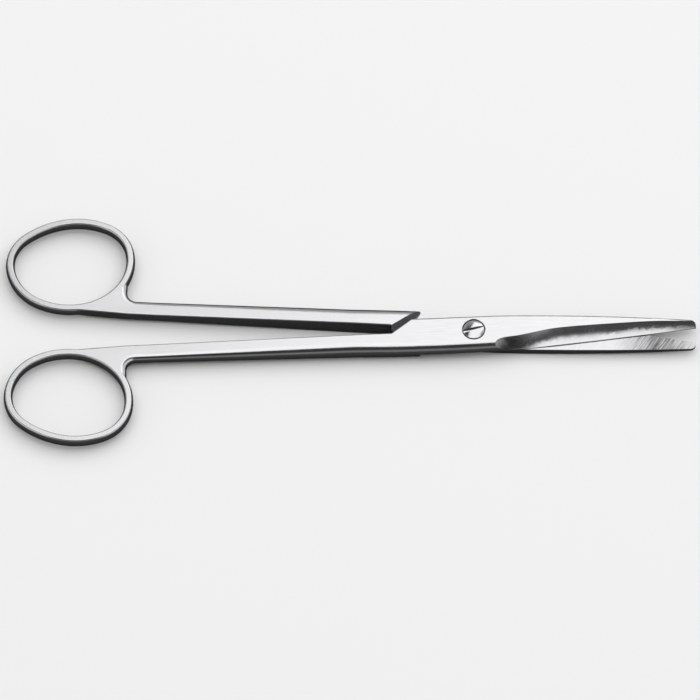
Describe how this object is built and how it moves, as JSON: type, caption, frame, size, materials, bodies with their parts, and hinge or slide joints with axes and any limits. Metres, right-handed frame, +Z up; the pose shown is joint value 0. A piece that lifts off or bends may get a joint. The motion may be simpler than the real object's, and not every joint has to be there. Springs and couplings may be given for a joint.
{
  "type": "dissecting scissors",
  "caption": "Straight dissecting scissors: forged halves with finger rings and hollow-bevelled blades, crossing in a lap joint that turns on a slotted screw.",
  "frame": {"origin": "where the axis of the pivot screw meets the flat underside of the joint", "axes": "+X along the closed instrument from the joint to the tips, +Y towards the ring of the rear half, +Z up along the screw, towards its slotted head"},
  "size_m": [0.1714, 0.0644, 0.0053],
  "materials": {
    "forged_steel": "hand-polished stainless steel with a fine satin grain, brighter on the flats and ground across on the blades",
    "screw_steel": "turned and polished stainless steel"
  },
  "bodies": {
    "rear": {"rear_half": "forged_steel", "pivot_screw": "screw_steel"},
    "front": {"front_half": "forged_steel"}
  },
  "joints": [
    {"name": "pivot", "type": "hinge", "parent": "rear", "child": "front", "pos_m": [0, 0, 0.0025], "axis": [0, 0, 1], "range_deg": [-5.8, 134.2]}
  ]
}
